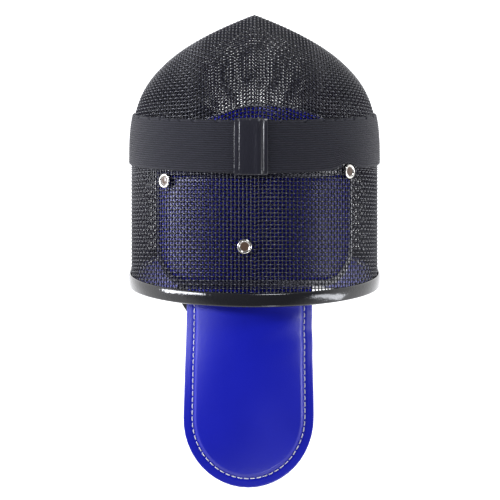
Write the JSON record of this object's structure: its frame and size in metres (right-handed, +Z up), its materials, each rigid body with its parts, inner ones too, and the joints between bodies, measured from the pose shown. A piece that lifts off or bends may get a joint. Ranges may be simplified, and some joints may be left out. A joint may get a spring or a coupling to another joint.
{
  "type": "fencing mask",
  "caption": "Fencing mask: ridged wire mesh bowl, glossy rim trim, padded crown and brow, padded tongue, elastic back strap laid over the crown, and a soft bib.",
  "frame": {"origin": "the underside of the crown padding on the middle plane, where the wearer's head carries the mask", "axes": "+Z up as worn, the face looks along -Y, +X is the wearer's left"},
  "size_m": [0.2118, 0.3863, 0.4554],
  "materials": {
    "wire_paint": "semi-gloss black paint on woven steel wire",
    "gloss_trim": "glossy black vinyl",
    "blue_vinyl": "glossy royal blue vinyl over foam",
    "white_tape": "white woven tape",
    "nickel": "nickel plated",
    "elastic": "ribbed black elastic",
    "black_vinyl": "semi-gloss black vinyl",
    "blue_cloth": "woven blue cloth, padded"
  },
  "bodies": {
    "root": {"mesh_shell": "wire_paint", "rim_trim": "gloss_trim", "crown_pad": "blue_vinyl", "crown_pad_binding": "white_tape", "brow_pad": "blue_vinyl", "brow_pad_piping": "white_tape", "tongue": "blue_vinyl", "tongue_webbing": "elastic", "snap_left": "nickel", "snap_right": "nickel", "snap_centre": "nickel", "strap_rivet_left": "nickel", "strap_rivet_right": "nickel", "back_strap": "elastic", "strap_sleeve": "black_vinyl", "bib": "blue_cloth"}
  },
  "joints": []
}
